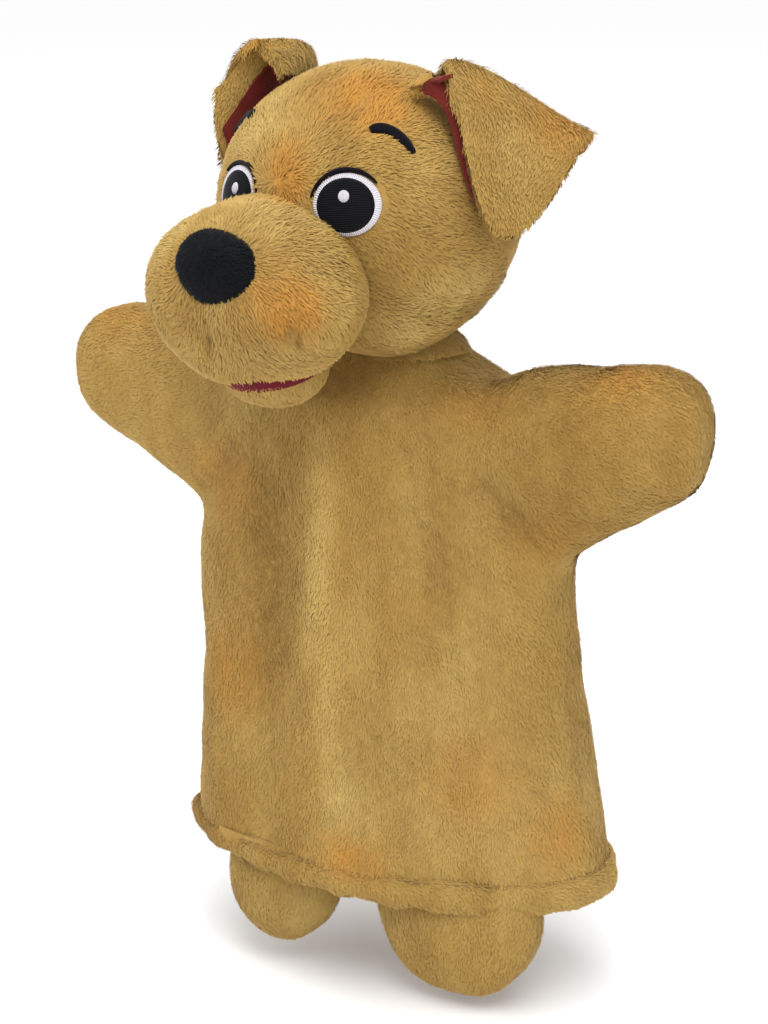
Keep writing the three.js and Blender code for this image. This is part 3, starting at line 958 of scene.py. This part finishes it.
class Patch:
    """A flat drawing laid on the skull round one point, in the head's own millimetres."""

    def __init__(self, side, spot):
        spot = np.array((side * spot[0], spot[1], spot[2]), float)
        self.side = side
        self.middle = SKULL_MIDDLE + spot
        normal = spot / SKULL_HALF ** 2
        self.normal = normal / np.linalg.norm(normal)
        up = np.array((0, 0, 1.0)) - self.normal[2] * self.normal
        self.up = up / np.linalg.norm(up)
        self.right = np.cross(self.up, self.normal)

    def on(self, a, b, height):
        """A point a to the dog's outer side and b up, that high over the skull's plush."""
        flat = self.middle + self.right * a * self.side + self.up * b
        out = (flat - SKULL_MIDDLE) / SKULL_HALF
        skin = SKULL_MIDDLE + out / np.linalg.norm(out) * SKULL_HALF
        normal = (skin - SKULL_MIDDLE) / SKULL_HALF ** 2
        return skin + normal / np.linalg.norm(normal) * (height + 0.45)

    def local(self, root):
        """Positions over the patch of points in the part's frame, and which lie on its side."""
        p = head_local(root) - self.middle
        return p @ self.right * self.side, p @ self.up, np.abs(p @ self.normal) < 12

    def frame_in_metres(self):
        spin = HEAD_SPIN.to_3x3()
        return (
            tuple(spin @ Vector(self.right * self.side)), tuple(spin @ Vector(self.up)),
            tuple((spin @ Vector(self.middle)) * MM),
        )

EYES = {word: Patch(side, EYE_SPOTS[word]) for word, side in SIDES.items()}
BROWS = {word: Patch(side, BROW_ON_SKULL) for word, side in SIDES.items()}

def brow_line(along):
    """Height of the brow's middle line; along goes from -1 to 1."""
    return 1.5 - 3.7 * along - 3.0 * along ** 2

def bare_on_skull(root, up):
    """Pile grows outside the muzzle, the eyes and the neck hole."""
    local = head_local(root)
    keep = depth_in(local, MUZZLE_MIDDLE, MUZZLE_HALF - 1.2) > 1
    for eye in EYES.values():
        a, b, here = eye.local(root)
        inside = (a / (WHITE_HALF[0] - 0.2)) ** 2 + (b / (WHITE_HALF[1] - 0.2)) ** 2 < 1
        lash = ((a / 11.3) ** 2 + (b / 10.3) ** 2 < 1) & (b > -1.0)
        keep &= ~((inside | lash) & here)
    for brow in BROWS.values():
        a, b, here = brow.local(root)
        line = brow_line((a - 0.2) / 6)
        keep &= ~((np.abs(a) < 7.0) & (np.abs(b - line) < 2.3) & here)
    return keep

def bare_on_muzzle(root, up):
    local = head_local(root)
    keep = depth_in(local, SKULL_MIDDLE, SKULL_HALF - 1.2) > 1
    keep &= depth_in(local, NOSE_MIDDLE, NOSE_HALF - 0.6) > 1
    return keep

HEAD_NAP = dict(per_mm2=3.0, length=2.5, width=0.42, lean=15, slot="gold_plush",
                material=GOLD_PILE, swirl=0.6)

SKULL = skull_skin()
for word, side in SIDES.items():
    half = cut(SKULL, (0, 0, 0), (side, 0, 0))
    pile(f"head_{word}_pile", skin_of(half, head=True), comb=head_comb, keep=bare_on_skull,
         body="head", **HEAD_NAP)
    lined(half, HEAD_WALL)
    half = make(f"head_{word}_plush", half, [GOLD_BASE, INSIDE], "gold_plush", head=True,
                body="head", replaces=[f"head_{word}_side"])
SKULL.free()

muzzle = ball(MUZZLE_MIDDLE, MUZZLE_HALF, 150, 96)
push(muzzle, muzzle_shape)
pile("muzzle_pile", skin_of(muzzle, head=True), comb=muzzle_comb, keep=bare_on_muzzle,
     tone=painted_dart_shade, body="head", **HEAD_NAP)
muzzle = make("muzzle_plush", muzzle, [GOLD_BASE], "gold_plush", head=True, body="head",
              replaces=["muzzle_cover"])

def nose_shape(co, normals):
    px, py, pz = (co - NOSE_MIDDLE).T
    return -1.6 * np.clip(-pz / 11, 0, 1) * np.clip(np.abs(px) / 12, 0, 1) + 0.3 * wander(co, 9)

nose = ball(NOSE_MIDDLE, NOSE_HALF, 56, 36)
push(nose, nose_shape)
pile("nose_pile", skin_of(nose, head=True), 3.2, 1.3, 0.42, 30, muzzle_comb, BLACK_PILE,
     "black_plush", keep=lambda root, up: depth_in(head_local(root), MUZZLE_MIDDLE, MUZZLE_HALF) > 0.97,
     body="head")
nose = make("nose_plush", nose, [BLACK_BASE], "black_plush", head=True, body="head",
            replaces=["nose"])

# ---- mouth

def chin_shape(co, normals):
    px, py, pz = (co - CHIN_MIDDLE).T
    return 0.35 * wander(co, 8) - 0.5 * dip(px, 0, 4) * (pz < 0)

chin = ball(CHIN_MIDDLE, CHIN_HALF, 48, 30)
push(chin, chin_shape)

def bare_on_chin(root, up):
    local = head_local(root)
    return (depth_in(local, MUZZLE_MIDDLE, MUZZLE_HALF + 0.6) > 1) & (
        depth_in(local, SKULL_MIDDLE, SKULL_HALF - 1) > 1
    )

pile("chin_pile", skin_of(chin, head=True), comb=muzzle_comb, keep=bare_on_chin, body="jaw",
     **{**HEAD_NAP, "length": 1.9})
chin = make("chin_plush", chin, [GOLD_BASE], "gold_plush", head=True, body="jaw",
            replaces=["chin"])

def mouth_cloth():
    """The red cloth between the lips, a shallow bowl under the muzzle."""
    bm = ball(CHIN_MIDDLE + np.array((0, -0.6, 2.1)), CHIN_HALF + np.array((1.1, 1.4, -0.3)), 56, 32)
    return cut(cut(bm, CHIN_MIDDLE + np.array((0, 0, -0.3)), (0, -0.28, 0.96)),
               (0, -40, 0), (0, -1, 0))

mouth = mouth_cloth()
area = area_of(mouth)
wall(mouth, THIN_WALL)
mouth = make("mouth_felt", mouth, [MOUTH_RED], "mouth_felt", head=True, body="jaw",
             replaces=["mouth_lining"])
declare(mouth, min(area, 0.04 * 0.034), 0.04, 0.034, "stretched")

# ---- embroidery

def disc(patch, half_a, half_b, shift, height, rings=7, count=64, bottom=-1.4):
    """A raised embroidered oval; its rim drops into the pile."""
    rows = []
    for share in [*(k / rings for k in range(1, rings + 1)), 1.0]:
        rim = share == 1.0 and len(rows) == rings
        level = bottom if rim else height * (1 - 0.35 * share ** 4)
        ring = []
        for k in range(count):
            turn = k / count * math.tau
            a = shift[0] + math.cos(turn) * half_a * share
            b = shift[1] + math.sin(turn) * half_b * share
            ring.append(patch.on(a, b, level))
        rows.append(ring)
    return loft(rows, True, False)

def band(patch, spine, widths, height, bottom=-1.4):
    """A raised stroke of satin stitch along a line of points."""
    ahead = np.gradient(spine, axis=0)
    ahead /= np.linalg.norm(ahead, axis=1)[:, None]
    across = np.stack([-ahead[:, 1], ahead[:, 0]], 1)
    rows = []
    for point, out, width in zip(spine, across, widths):
        ring = []
        for share, level in (
            (-1, bottom), (-1, height * 0.55), (-0.5, height), (0.5, height),
            (1, height * 0.55), (1, bottom),
        ):
            a, b = point + out * share * width / 2
            ring.append(patch.on(a, b, level))
        rows.append(ring)
    return loft(rows)

def arc(radius, start, end, count):
    turns = np.radians(np.linspace(start, end, count))
    return np.stack([np.cos(turns), np.sin(turns)], 1) * radius

# The darker colour of each thread pair is the painted shade between the threads.
WHITE_THREAD = (srgb(180, 174, 184), srgb(226, 222, 228))
BLACK_THREAD = (srgb(8, 8, 11), srgb(25, 25, 30))
DULL = 0.05  # sheen of the black thread
STITCH_PITCH = 0.5
for word, eye in EYES.items():
    right, up, middle = eye.frame_in_metres()
    lash_line = arc(10.75, 40, 170, 40) * (1, 0.915)
    lash_widths = 1.5 * np.sin(np.linspace(0.25, math.pi - 0.25, 40)) ** 0.6
    rays = thread(f"{word} white thread", *WHITE_THREAD, right, up, middle, 88, 0)
    flat = thread(f"{word} black thread", *BLACK_THREAD, right, up, middle, 0, STITCH_PITCH, DULL)
    spot = thread(f"{word} spot thread", *WHITE_THREAD, up, right, middle, 0, STITCH_PITCH)
    lash = thread(f"{word} lash thread", *BLACK_THREAD, right, up, middle, 110, 0, DULL)
    right, up, middle = BROWS[word].frame_in_metres()
    brow = thread(f"{word} brow thread", *BLACK_THREAD, up, right, middle, 0, STITCH_PITCH, DULL)
    along = np.linspace(-1, 1, 28)
    brow_spine = np.stack([0.2 + 6.0 * along, brow_line(along)], 1)
    brow_widths = 1.7 + 1.6 * (1 - along ** 4) - 0.4 * along
    sewn = [
        ("eye_white", "eye_white", disc(eye, *WHITE_HALF, (0, 0), 1.1), rays, "white"),
        ("pupil", "pupil", disc(eye, *PUPIL_HALF, (-0.4, -0.2), 1.5, bottom=0.6), flat, "black"),
        ("highlight", "eye_highlight",
         disc(eye, 1.75, 1.85, (-0.8, 2.2), 2.0, 3, 24, bottom=1.0), spot, "white"),
        ("lash", "lash_line", band(eye, lash_line, lash_widths, 1.2), lash, "black"),
        ("brow", "brow", band(BROWS[word], brow_spine, brow_widths, 1.3), brow, "black"),
    ]
    for name, node, shape, finish, colour in sewn:
        make(f"{word}_{name}_stitched", shape, [finish], f"{colour}_thread", head=True,
             body="head", replaces=[f"{word}_{node}"])

# ---- ears

# Each ear goes from its root on the head, over the fold, to the flap's lower edge. out points
# away from the head and turn from front to back. The lining's front edge stands forward by lip
# and begins at the share start of the ear's length.
EAR_GUIDES = {
    "left": dict(
        root=[(27, -21, 244), (31, -12, 247), (38, 2, 243), (46, 14, 236), (52, 24, 227)],
        fold=[(33, -17.5, 251.6), (37, -10, 253.4), (44.5, 3, 246), (52, 13, 238), (59.5, 21, 231)],
        edge=[(37.5, -19.5, 241), (46.5, -21, 224.2), (56.5, -18.5, 205.4), (62, -2, 216),
              (60, 15, 228)],
        out=(0.776, -0.372, 0.508), turn=(0.573, 0.751, -0.326), lip=8.5, start=0,
    ),
    "right": dict(
        root=[(-27.5, -17, 246), (-31, -8, 245.5), (-37, 4, 240.5), (-44, 14, 233), (-49, 24, 225)],
        fold=[(-41, -13.5, 255), (-38.5, -4, 254.6), (-40.5, 8, 251.5), (-49, 16, 243.5), (-56, 23, 236)],
        edge=[(-52.5, -14.5, 241), (-56, -15.5, 229), (-55.5, -15, 215), (-63, 0, 220), (-62, 17, 231)],
        out=(-0.86, -0.25, 0.44), turn=(-0.4, 0.87, -0.28), lip=0, start=0.3,
    ),
}
EAR_ALONG, EAR_ACROSS = 30, 40

def curve(knots, share):
    """A smooth line through five knots, at shares from 0 to 1."""
    knots = np.array(knots, float)
    at = np.linspace(0, 1, len(knots))
    return np.stack([
        np.polyval(np.polyfit(at, knots[:, i], len(knots) - 1), share) for i in range(3)
    ], -1)

def ear_skin(guide, drop=0.0, shorter=0.0, lip=0.0, start=0.0, stop=1.0):
    """The ear's cloth as a grid; drop is how far this layer lies under the outer plush."""
    bm = bmesh.new()
    grid = bmesh.ops.create_grid(bm, x_segments=EAR_ALONG, y_segments=EAR_ACROSS, size=1)["verts"]
    out = np.array(guide["out"])
    turn = np.array(guide["turn"])
    for vert in grid:
        along = start + (stop - start) * (vert.co.x + 1) / 2
        across = (vert.co.y + 1) / 2
        root, fold, edge = (curve(guide[k], along) for k in ("root", "fold", "edge"))
        edge = edge + (fold - edge) * shorter
        chord = edge - fold
        middle = fold + chord * 0.5 + out * 3.4
        knots = np.array([
            root, root * 0.45 + fold * 0.55 - out * 3.0, fold - out * 2.6 + (0, 0, -1.0),
            fold + out * 0.8, fold + chord * 0.2 + out * 3.2, middle, edge + out * 0.6,
        ])
        where = across * (len(knots) - 1)
        low = min(int(where), len(knots) - 2)
        t = where - low
        p = [knots[max(0, min(len(knots) - 1, low + i))] for i in (-1, 0, 1, 2)]
        spot = 0.5 * (
            2 * p[1] + (p[2] - p[0]) * t + (2 * p[0] - 5 * p[1] + 4 * p[2] - p[3]) * t * t
            + (3 * p[1] - p[0] - 3 * p[2] + p[3]) * t ** 3
        )
        forward = lip * min(1, max(0, (across - 0.7) * 5))
        forward -= lip / 3 * min(1, max(0, (0.5 - across) * 6))
        vert.co = spot - turn * (forward * (1 - along) ** 4)
    smooth(bm, 2)
    bm.normal_update()
    flap = [f for f in bm.faces if f.calc_center_median().z < 240]
    facing = sum((f.normal * f.calc_area() for f in flap), Vector())
    if facing.dot(Vector(out)) < 0:
        bmesh.ops.reverse_faces(bm, faces=bm.faces[:])
    push(bm, lambda co, normals: 0.5 * wander(co, 9) - drop)
    return bm

def on_rim(bm):
    """Leaves only a narrow strip all round the ear's free edge, turned outwards."""
    edge = [e for e in bm.edges if len(e.link_faces) == 1]
    strip = bmesh.ops.extrude_edge_only(bm, edges=edge)["geom"]
    fresh = {g for g in strip if isinstance(g, bmesh.types.BMVert)}
    faces = [g for g in strip if isinstance(g, bmesh.types.BMFace)]
    normals = {v: v.normal.copy() for v in bm.verts if v not in fresh}
    for vert in fresh:
        old = next(e.other_vert(vert) for e in vert.link_edges if e.other_vert(vert) in normals)
        vert.co = old.co - normals[old] * 2.4
    bmesh.ops.delete(bm, geom=[f for f in bm.faces if f not in faces], context="FACES")
    bm.normal_update()

def ear_pile(name, bm, side, joint, per_mm2=3.1, length=2.1, lean=15):
    return pile(
        name, skin_of(bm, head=True), per_mm2, length, 0.42, lean,
        lambda root, up: np.tile((0.12 * side, -0.35, -1.0), (len(root), 1)),
        GOLD_PILE, "gold_plush", swirl=0.6, blend=joint,
    )

for word, side in SIDES.items():
    guide = EAR_GUIDES[word]
    out = HEAD_SPIN.to_3x3() @ Vector(guide["out"])
    root_middle = spun(guide["root"][2])
    fold_middle = spun(guide["fold"][2])
    start = root_middle + out * 0.5
    end = root_middle + out * max(4.0, (fold_middle - root_middle).dot(out) - 0.5)
    joint = ("head", f"{word}_ear", start, end)
    skin = ear_skin(guide)
    furry = [ear_pile(f"{word}_ear_pile", skin, side, joint)]
    area = area_of(skin)
    wall(skin, EAR_WALL)
    flap = make(f"{word}_ear_plush", skin, [GOLD_BASE], "gold_plush", head=True, blend=joint,
                replaces=[f"{word}_ear_flap", f"{word}_ear_root"])
    rim = ear_skin(guide)
    on_rim(rim)
    furry.append(ear_pile(f"{word}_ear_rim_pile", rim, side, joint, 3.6, 2.0, 22))
    rim.free()
    if guide["start"] > 0:
        inner = ear_skin(guide, 2.7, stop=guide["start"] + 0.04)
        bmesh.ops.reverse_faces(inner, faces=inner.faces[:])
        inner.normal_update()
        furry.append(ear_pile(f"{word}_ear_inner_pile", inner, side, joint))
        inner.free()
    declare(flap, area, 0.056, 0.092, "folded", furry)
    under = ear_skin(guide, 2.9, 0.06, guide["lip"], guide["start"])
    area = area_of(under)
    wall(under, THIN_WALL)
    under = make(f"{word}_ear_red_lining", under, [EAR_RED], "ear_lining", head=True, blend=joint,
                 replaces=[f"{word}_ear_lining"])
    declare(under, area, 0.054, 0.088, "folded")

# ---- neck

def neck_row(height, width, depth, ripple=0.0, phase=0.0):
    turns = np.arange(96) / 96 * math.tau
    gather = 1 + ripple * np.sin(turns * 14 + phase) + ripple * 0.5 * np.sin(turns * 23 + 1)
    shift = np.clip((height - 165) / 12, 0, 1)
    return np.stack([
        np.cos(turns) * width * gather, np.sin(turns) * depth * gather - 2.0 * shift,
        np.full(96, float(height)),
    ], 1)

# height, half width, half depth, ripple of the gathers and its phase
NECK_ROWS = [
    (164.2, 24.5, 21.6, 0.01, 0), (166.5, 22.8, 20.2, 0.025, 0), (168.5, 20.2, 18.2, 0.035, 0.2),
    (170.5, 18.4, 16.8, 0.04, 0.4), (172.5, 17.4, 16, 0.04, 0.6), (174.5, 16.6, 15.4, 0.03, 0.8),
    (177, 15.6, 14.4, 0.02, 1), (180, 14.2, 13.2, 0.01, 1.1),
]

NECK_PARTS = [
    ("neck_gather_lower", 0, 3, ("torso", "neck"), ["neck_cover_lower"]),
    ("neck_gather_middle", 3, 5, ("neck", "neck_top"), ["neck_cover_upper"]),
    ("neck_gather_upper", 5, 7, ("neck_top", "head"), []),
]
for name, first, last, bodies, stands_for in NECK_PARTS:
    skin = loft([neck_row(*row) for row in NECK_ROWS[first:last + 1]], False, False)
    low, high = NECK_ROWS[first][0], NECK_ROWS[last][0]
    joint = (*bodies, (0, 0, low), (0, 0, high))
    area = area_of(skin)
    tufts = pile(f"{name}_pile", skin_of(skin), comb=down, blend=joint, **NAP)
    wall(skin, NECK_WALL)
    skin = make(name, skin, [GOLD_BASE], "gold_plush", blend=joint, replaces=stands_for)
    declare(skin, area, 0.13, max(0.0101, area / 0.13 * 1.05), "gathered", [tufts])

# ---- feet

# middle in x, half width, depth down
FEET = {"left": (35.9, 29.2, 28.6), "right": (-26.9, 20.8, 23.4)}
FOOT_BACK = -22.0
FOOT_TOP = 3.0
FOOT_HALF_DEPTH = 12.6
PUFF_FRAMES = 14

def foot_skin(x, half, reach):
    bm = ball((0, 0, 0), (half, FOOT_HALF_DEPTH, reach), 56, 40)
    for vert in bm.verts:
        if vert.co.z > 0:
            vert.co.x *= 1 - 0.18 * (vert.co.z / reach) ** 2
            vert.co.y *= 1 - 0.2 * (vert.co.z / reach) ** 2
    bmesh.ops.translate(bm, vec=Vector((x, FOOT_BACK, -8.6)), verts=bm.verts)
    bmesh.ops.bisect_plane(
        bm, geom=bm.verts[:] + bm.edges[:] + bm.faces[:], dist=1e-5,
        plane_co=Vector((0, 0, FOOT_TOP)), plane_no=Vector((0, 0, 1)), clear_outer=True,
    )
    rim = [e for e in bm.edges if len(e.link_faces) == 1]
    bmesh.ops.contextual_create(bm, geom=rim)
    bm = remeshed(bm, 1.6)
    smooth(bm, 3)
    return bm

def puffed(bm, cap):
    """Cloth under gentle pressure from its filling; no point goes further than cap."""
    before = points(bm)
    mesh = bpy.data.meshes.new("pad")
    bm.to_mesh(mesh)
    mesh.transform(Matrix.Scale(MM * 10, 4))
    pad = add_object("pad", mesh)
    cloth = pad.modifiers.new("cloth", "CLOTH")
    cloth.settings.use_pressure = True
    cloth.settings.uniform_pressure_force = 2.2
    cloth.settings.mass = 0.3
    cloth.settings.quality = 5
    cloth.settings.effector_weights.gravity = 0
    cloth.point_cache.frame_start = 1
    cloth.point_cache.frame_end = PUFF_FRAMES
    scene = bpy.context.scene
    for number in range(1, PUFF_FRAMES + 1):
        scene.frame_set(number)
    graph = bpy.context.evaluated_depsgraph_get()
    after = np.array([v.co for v in pad.evaluated_get(graph).data.vertices]) / (MM * 10)
    scene.frame_set(1)
    bpy.data.objects.remove(pad)
    bpy.data.meshes.remove(mesh)
    step = after - before
    size = np.linalg.norm(step, axis=1)[:, None]
    move(bm, before + step * np.minimum(1, cap / np.maximum(size, 1e-9)))
    return bm

def foot_shape(co, normals):
    seam = -1.0 * dip(co[:, 1], FOOT_BACK, 1.4)
    pinch = -1.5 * dip(co[:, 2], 3, 3.5) * (np.abs(normals[:, 1]) > 0.4)
    return seam + pinch + 0.6 * wander(co, 11)

def foot_comb(root, up):
    return np.tile((0.0, -0.1, -1.0), (len(root), 1))

for word, (x, half, reach) in FEET.items():
    foot = puffed(foot_skin(x, half - 0.8, reach - 0.8), 1.6)
    push(foot, foot_shape)
    smooth(foot, 1)
    pile(f"{word}_foot_pile", skin_of(foot), comb=foot_comb, body=f"{word}_leg",
         keep=lambda root, up: root[:, 2] < 1.5, **NAP)
    foot = make(f"{word}_foot_plush", foot, [GOLD_BASE], "gold_plush", body=f"{word}_leg",
                replaces=[f"{word}_foot"])

# ---- inside: fibre, card and sewn tabs

def lumpy(name, node, body, share):
    """Loose fibre in the space of its filling, a little uneven all over."""
    bm = bmesh.new()
    bm.from_mesh(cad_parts[node].data)
    bm.transform(Matrix.Scale(1 / MM, 4))
    bmesh.ops.remove_doubles(bm, verts=bm.verts, dist=1e-3)
    bmesh.ops.subdivide_edges(bm, edges=bm.edges[:], cuts=1, use_grid_fill=True)
    bmesh.ops.triangulate(bm, faces=bm.faces[:])
    middle = sum((v.co for v in bm.verts), Vector()) / len(bm.verts)
    for vert in bm.verts:
        vert.co = middle + (vert.co - middle) * share
    push(bm, lambda co, normals: 0.7 * wander(co, 5) - 0.9)
    piece = make(name, bm, [FIBRE], "polyester_fibre", body=body, replaces=[node])

lumpy("head_fibre", "head_filling", "head", 0.97)
lumpy("muzzle_fibre", "muzzle_filling", "head", 0.87)
lumpy("left_foot_fibre", "left_foot_filling", "left_leg", 0.92)
lumpy("right_foot_fibre", "right_foot_filling", "right_leg", 0.8)

for node, finish in (
    ("finger_tube", CARD), ("left_foot_tab", GOLD_BASE), ("right_foot_tab", GOLD_BASE),
):
    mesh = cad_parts[node].data
    if not mesh.materials:
        mesh.materials.append(finish)
    for number in range(len(mesh.materials)):
        mesh.materials[number] = finish

# ---- floor and light

def add_stage():
    bm = bmesh.new()
    bmesh.ops.create_grid(bm, x_segments=1, y_segments=1, size=80)
    bmesh.ops.translate(bm, vec=Vector((0, 0, -0.0405)), verts=bm.verts)
    mesh = bpy.data.meshes.new("floor")
    bm.to_mesh(mesh)
    bm.free()
    floor = add_object("floor", mesh)
    f = Finish("pale floor")
    mesh.materials.append(f.close(srgb(250, 250, 250), 0.9))
    world = bpy.data.worlds.new("studio")
    bpy.context.scene.world = world
    world.use_nodes = True
    world.node_tree.nodes["Background"].inputs["Color"].default_value = (1, 1, 1, 1)
    world.node_tree.nodes["Background"].inputs["Strength"].default_value = 1.0
    # turn, rise, distance, size, watts
    lamps = [
        ("key", 34, 50, 1.5, 0.9, 11), ("fill", -50, 25, 1.7, 1.2, 4), ("top", 0, 80, 1.4, 1.0, 7),
    ]
    for name, turn, rise, away, size, power in lamps:
        data = bpy.data.lights.new(name, "AREA")
        data.shape = "DISK"
        data.size = size
        data.energy = power
        lamp = add_object(name, data)
        direction = outward(math.radians(turn), math.radians(rise))
        lamp.location = VIEW_TARGET + direction * away
        lamp.rotation_euler = direction.to_track_quat("Z", "Y").to_euler()
    bpy.context.scene.view_settings.view_transform = "Standard"

add_stage()
